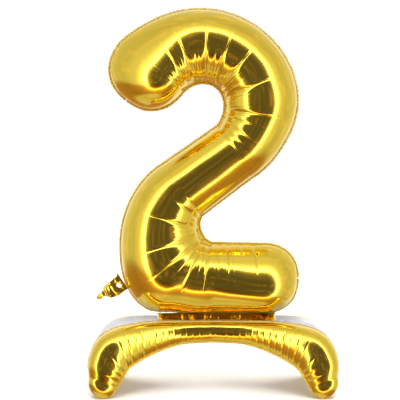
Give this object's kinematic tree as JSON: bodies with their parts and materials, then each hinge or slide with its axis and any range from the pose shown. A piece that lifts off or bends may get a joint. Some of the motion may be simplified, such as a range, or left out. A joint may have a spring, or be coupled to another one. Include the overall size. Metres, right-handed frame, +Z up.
{
  "type": "foil number balloon",
  "caption": "Air-filled metallic foil number balloon, a figure two standing on an inflated four-legged base.",
  "frame": {"origin": "on the floor, under the middle of the base, in the plane of the figure's weld", "axes": "+Z up, +X to the figure's right as it is read, +Y away from the reader"},
  "size_m": [0.5108, 0.2196, 0.7975],
  "materials": {
    "gold_foil": "mirror-bright yellow gold metallised foil",
    "gold_weld": "pressed heat-sealed foil margin",
    "silver_film": "crinkled bright silver film",
    "clear_film": "thin clear polyethylene film"
  },
  "bodies": {
    "base": {"base_front_outer_foil": "gold_foil", "base_front_inner_foil": "gold_foil", "base_rear_outer_foil": "gold_foil", "base_rear_inner_foil": "gold_foil", "base_front_seam_margin": "gold_weld", "base_rear_seam_margin": "gold_weld", "base_web_film": "silver_film", "neck_front_foil": "gold_foil", "neck_rear_foil": "gold_foil", "base_valve_upper_film": "clear_film", "base_valve_lower_film": "clear_film"},
    "figure": {"figure_front_foil": "gold_foil", "figure_rear_foil": "gold_foil", "figure_seam_margin": "gold_weld", "figure_valve_front_film": "clear_film", "figure_valve_rear_film": "clear_film"},
    "figure_tail": {"figure_tail_front_foil": "gold_foil", "figure_tail_rear_foil": "gold_foil"},
    "base_tail": {"base_tail_upper_foil": "gold_foil", "base_tail_lower_foil": "gold_foil"}
  },
  "joints": [
    {"name": "figure_sway", "type": "hinge", "parent": "base", "child": "figure", "pos_m": [0, 0, 0.157], "axis": [1, 0, 0], "range_deg": [-8, 8], "stiffness_Nm_per_rad": 0.6, "deforming": ["neck_front_foil", "neck_rear_foil"]},
    {"name": "figure_tail_fold", "type": "hinge", "parent": "figure", "child": "figure_tail", "pos_m": [-0.19017, 0, 0.22454], "axis": [0.4924, 0, -0.8704], "range_deg": [-75, 75], "stiffness_Nm_per_rad": 0.001},
    {"name": "base_tail_fold", "type": "hinge", "parent": "base", "child": "base_tail", "pos_m": [0.04974, 0.0399, 0.0973], "axis": [1, 0, 0], "range_deg": [-75, 25], "stiffness_Nm_per_rad": 0.002}
  ]
}
